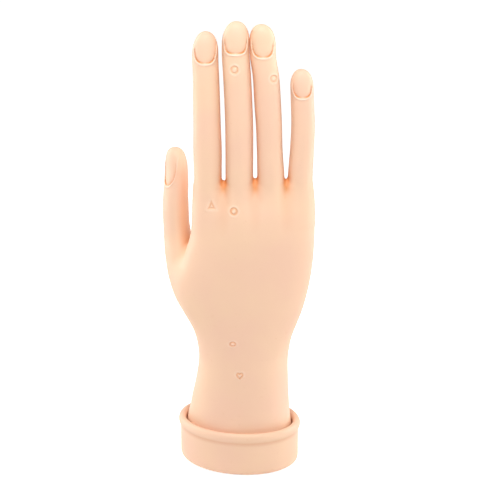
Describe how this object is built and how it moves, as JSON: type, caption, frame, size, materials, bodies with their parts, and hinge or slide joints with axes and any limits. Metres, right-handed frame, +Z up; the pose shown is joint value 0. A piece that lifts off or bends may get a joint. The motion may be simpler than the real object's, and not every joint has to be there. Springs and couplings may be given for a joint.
{
  "type": "nail practice hand",
  "caption": "Soft moulded right hand standing upright in an oval beaded cup, with bendable fingers on inner wires and slotted nail beds for practice nails.",
  "frame": {"origin": "middle of the cup's flat underside, on the cup's own axis", "axes": "+Z up along the hand to the fingertips, +X towards the little finger, -Y out of the back of the hand, +Y out of the palm"},
  "size_m": [0.0795, 0.0528, 0.2349],
  "materials": {
    "skin_vinyl": "matte",
    "cup_vinyl": "matte",
    "wire_aluminium": "satin",
    "foam": "matte",
    "plug_plastic": "matte"
  },
  "bodies": {
    "hand": {"base_cup": "cup_vinyl", "wrist_plug": "plug_plastic", "palm_skin": "skin_vinyl", "foam_core": "foam", "index_wire": "wire_aluminium", "middle_wire": "wire_aluminium", "ring_wire": "wire_aluminium", "little_wire": "wire_aluminium", "thumb_wire": "wire_aluminium"},
    "index_proximal": {"index_proximal_skin": "skin_vinyl"},
    "index_middle": {"index_middle_skin": "skin_vinyl"},
    "index_tip": {"index_tip_skin": "skin_vinyl"},
    "middle_proximal": {"middle_proximal_skin": "skin_vinyl"},
    "middle_middle": {"middle_middle_skin": "skin_vinyl"},
    "middle_tip": {"middle_tip_skin": "skin_vinyl"},
    "ring_proximal": {"ring_proximal_skin": "skin_vinyl"},
    "ring_middle": {"ring_middle_skin": "skin_vinyl"},
    "ring_tip": {"ring_tip_skin": "skin_vinyl"},
    "little_proximal": {"little_proximal_skin": "skin_vinyl"},
    "little_middle": {"little_middle_skin": "skin_vinyl"},
    "little_tip": {"little_tip_skin": "skin_vinyl"},
    "thumb_proximal": {"thumb_proximal_skin": "skin_vinyl"},
    "thumb_tip": {"thumb_tip_skin": "skin_vinyl"}
  },
  "joints": [
    {"name": "index_root_bend", "type": "hinge", "parent": "hand", "child": "index_proximal", "pos_m": [-0.01568, 0, 0.158], "axis": [-0.9999, 0, -0.0105], "range_deg": [-10, 60], "deforming": ["index_wire"]},
    {"name": "index_knuckle_bend", "type": "hinge", "parent": "index_proximal", "child": "index_middle", "pos_m": [-0.01594, 0, 0.18284], "axis": [-0.9999, 0, -0.0105], "range_deg": [0, 70], "deforming": ["index_wire"]},
    {"name": "index_tip_bend", "type": "hinge", "parent": "index_middle", "child": "index_tip", "pos_m": [-0.01618, 0, 0.20624], "axis": [-0.9999, 0, -0.0105], "range_deg": [0, 35], "deforming": ["index_wire"]},
    {"name": "middle_root_bend", "type": "hinge", "parent": "hand", "child": "middle_proximal", "pos_m": [0.00042, -0.0012, 0.158], "axis": [-0.9998, 0, -0.0192], "range_deg": [-10, 60], "deforming": ["middle_wire"]},
    {"name": "middle_knuckle_bend", "type": "hinge", "parent": "middle_proximal", "child": "middle_middle", "pos_m": [-0.00009, -0.0012, 0.18456], "axis": [-0.9998, 0, -0.0192], "range_deg": [0, 70], "deforming": ["middle_wire"]},
    {"name": "middle_tip_bend", "type": "hinge", "parent": "middle_middle", "child": "middle_tip", "pos_m": [-0.00056, -0.0012, 0.20958], "axis": [-0.9998, 0, -0.0192], "range_deg": [0, 35], "deforming": ["middle_wire"]},
    {"name": "ring_root_bend", "type": "hinge", "parent": "hand", "child": "ring_proximal", "pos_m": [0.01638, -0.00084, 0.158], "axis": [-0.998, 0, -0.0625], "range_deg": [-10, 60], "deforming": ["ring_wire"]},
    {"name": "ring_knuckle_bend", "type": "hinge", "parent": "ring_proximal", "child": "ring_middle", "pos_m": [0.01475, -0.00084, 0.18396], "axis": [-0.998, 0, -0.0625], "range_deg": [0, 70], "deforming": ["ring_wire"]},
    {"name": "ring_tip_bend", "type": "hinge", "parent": "ring_middle", "child": "ring_tip", "pos_m": [0.01322, -0.00084, 0.20842], "axis": [-0.998, 0, -0.0625], "range_deg": [0, 35], "deforming": ["ring_wire"]},
    {"name": "little_root_bend", "type": "hinge", "parent": "hand", "child": "little_proximal", "pos_m": [0.03182, 0.00072, 0.158], "axis": [-1, 0, 0], "range_deg": [-10, 60], "deforming": ["little_wire"]},
    {"name": "little_knuckle_bend", "type": "hinge", "parent": "little_proximal", "child": "little_middle", "pos_m": [0.03182, 0.00072, 0.17502], "axis": [-1, 0, 0], "range_deg": [0, 70], "deforming": ["little_wire"]},
    {"name": "little_tip_bend", "type": "hinge", "parent": "little_middle", "child": "little_tip", "pos_m": [0.03182, 0.00072, 0.19019], "axis": [-1, 0, 0], "range_deg": [0, 35], "deforming": ["little_wire"]},
    {"name": "thumb_root_bend", "type": "hinge", "parent": "hand", "child": "thumb_proximal", "pos_m": [-0.0331, 0.012, 0.126], "axis": [-0.6426, 0.766, 0.0168], "range_deg": [-10, 35], "deforming": ["thumb_wire"]},
    {"name": "thumb_tip_bend", "type": "hinge", "parent": "thumb_proximal", "child": "thumb_tip", "pos_m": [-0.03263, 0.012, 0.14405], "axis": [-0.6426, 0.766, 0.0168], "range_deg": [0, 50], "deforming": ["thumb_wire"]}
  ]
}
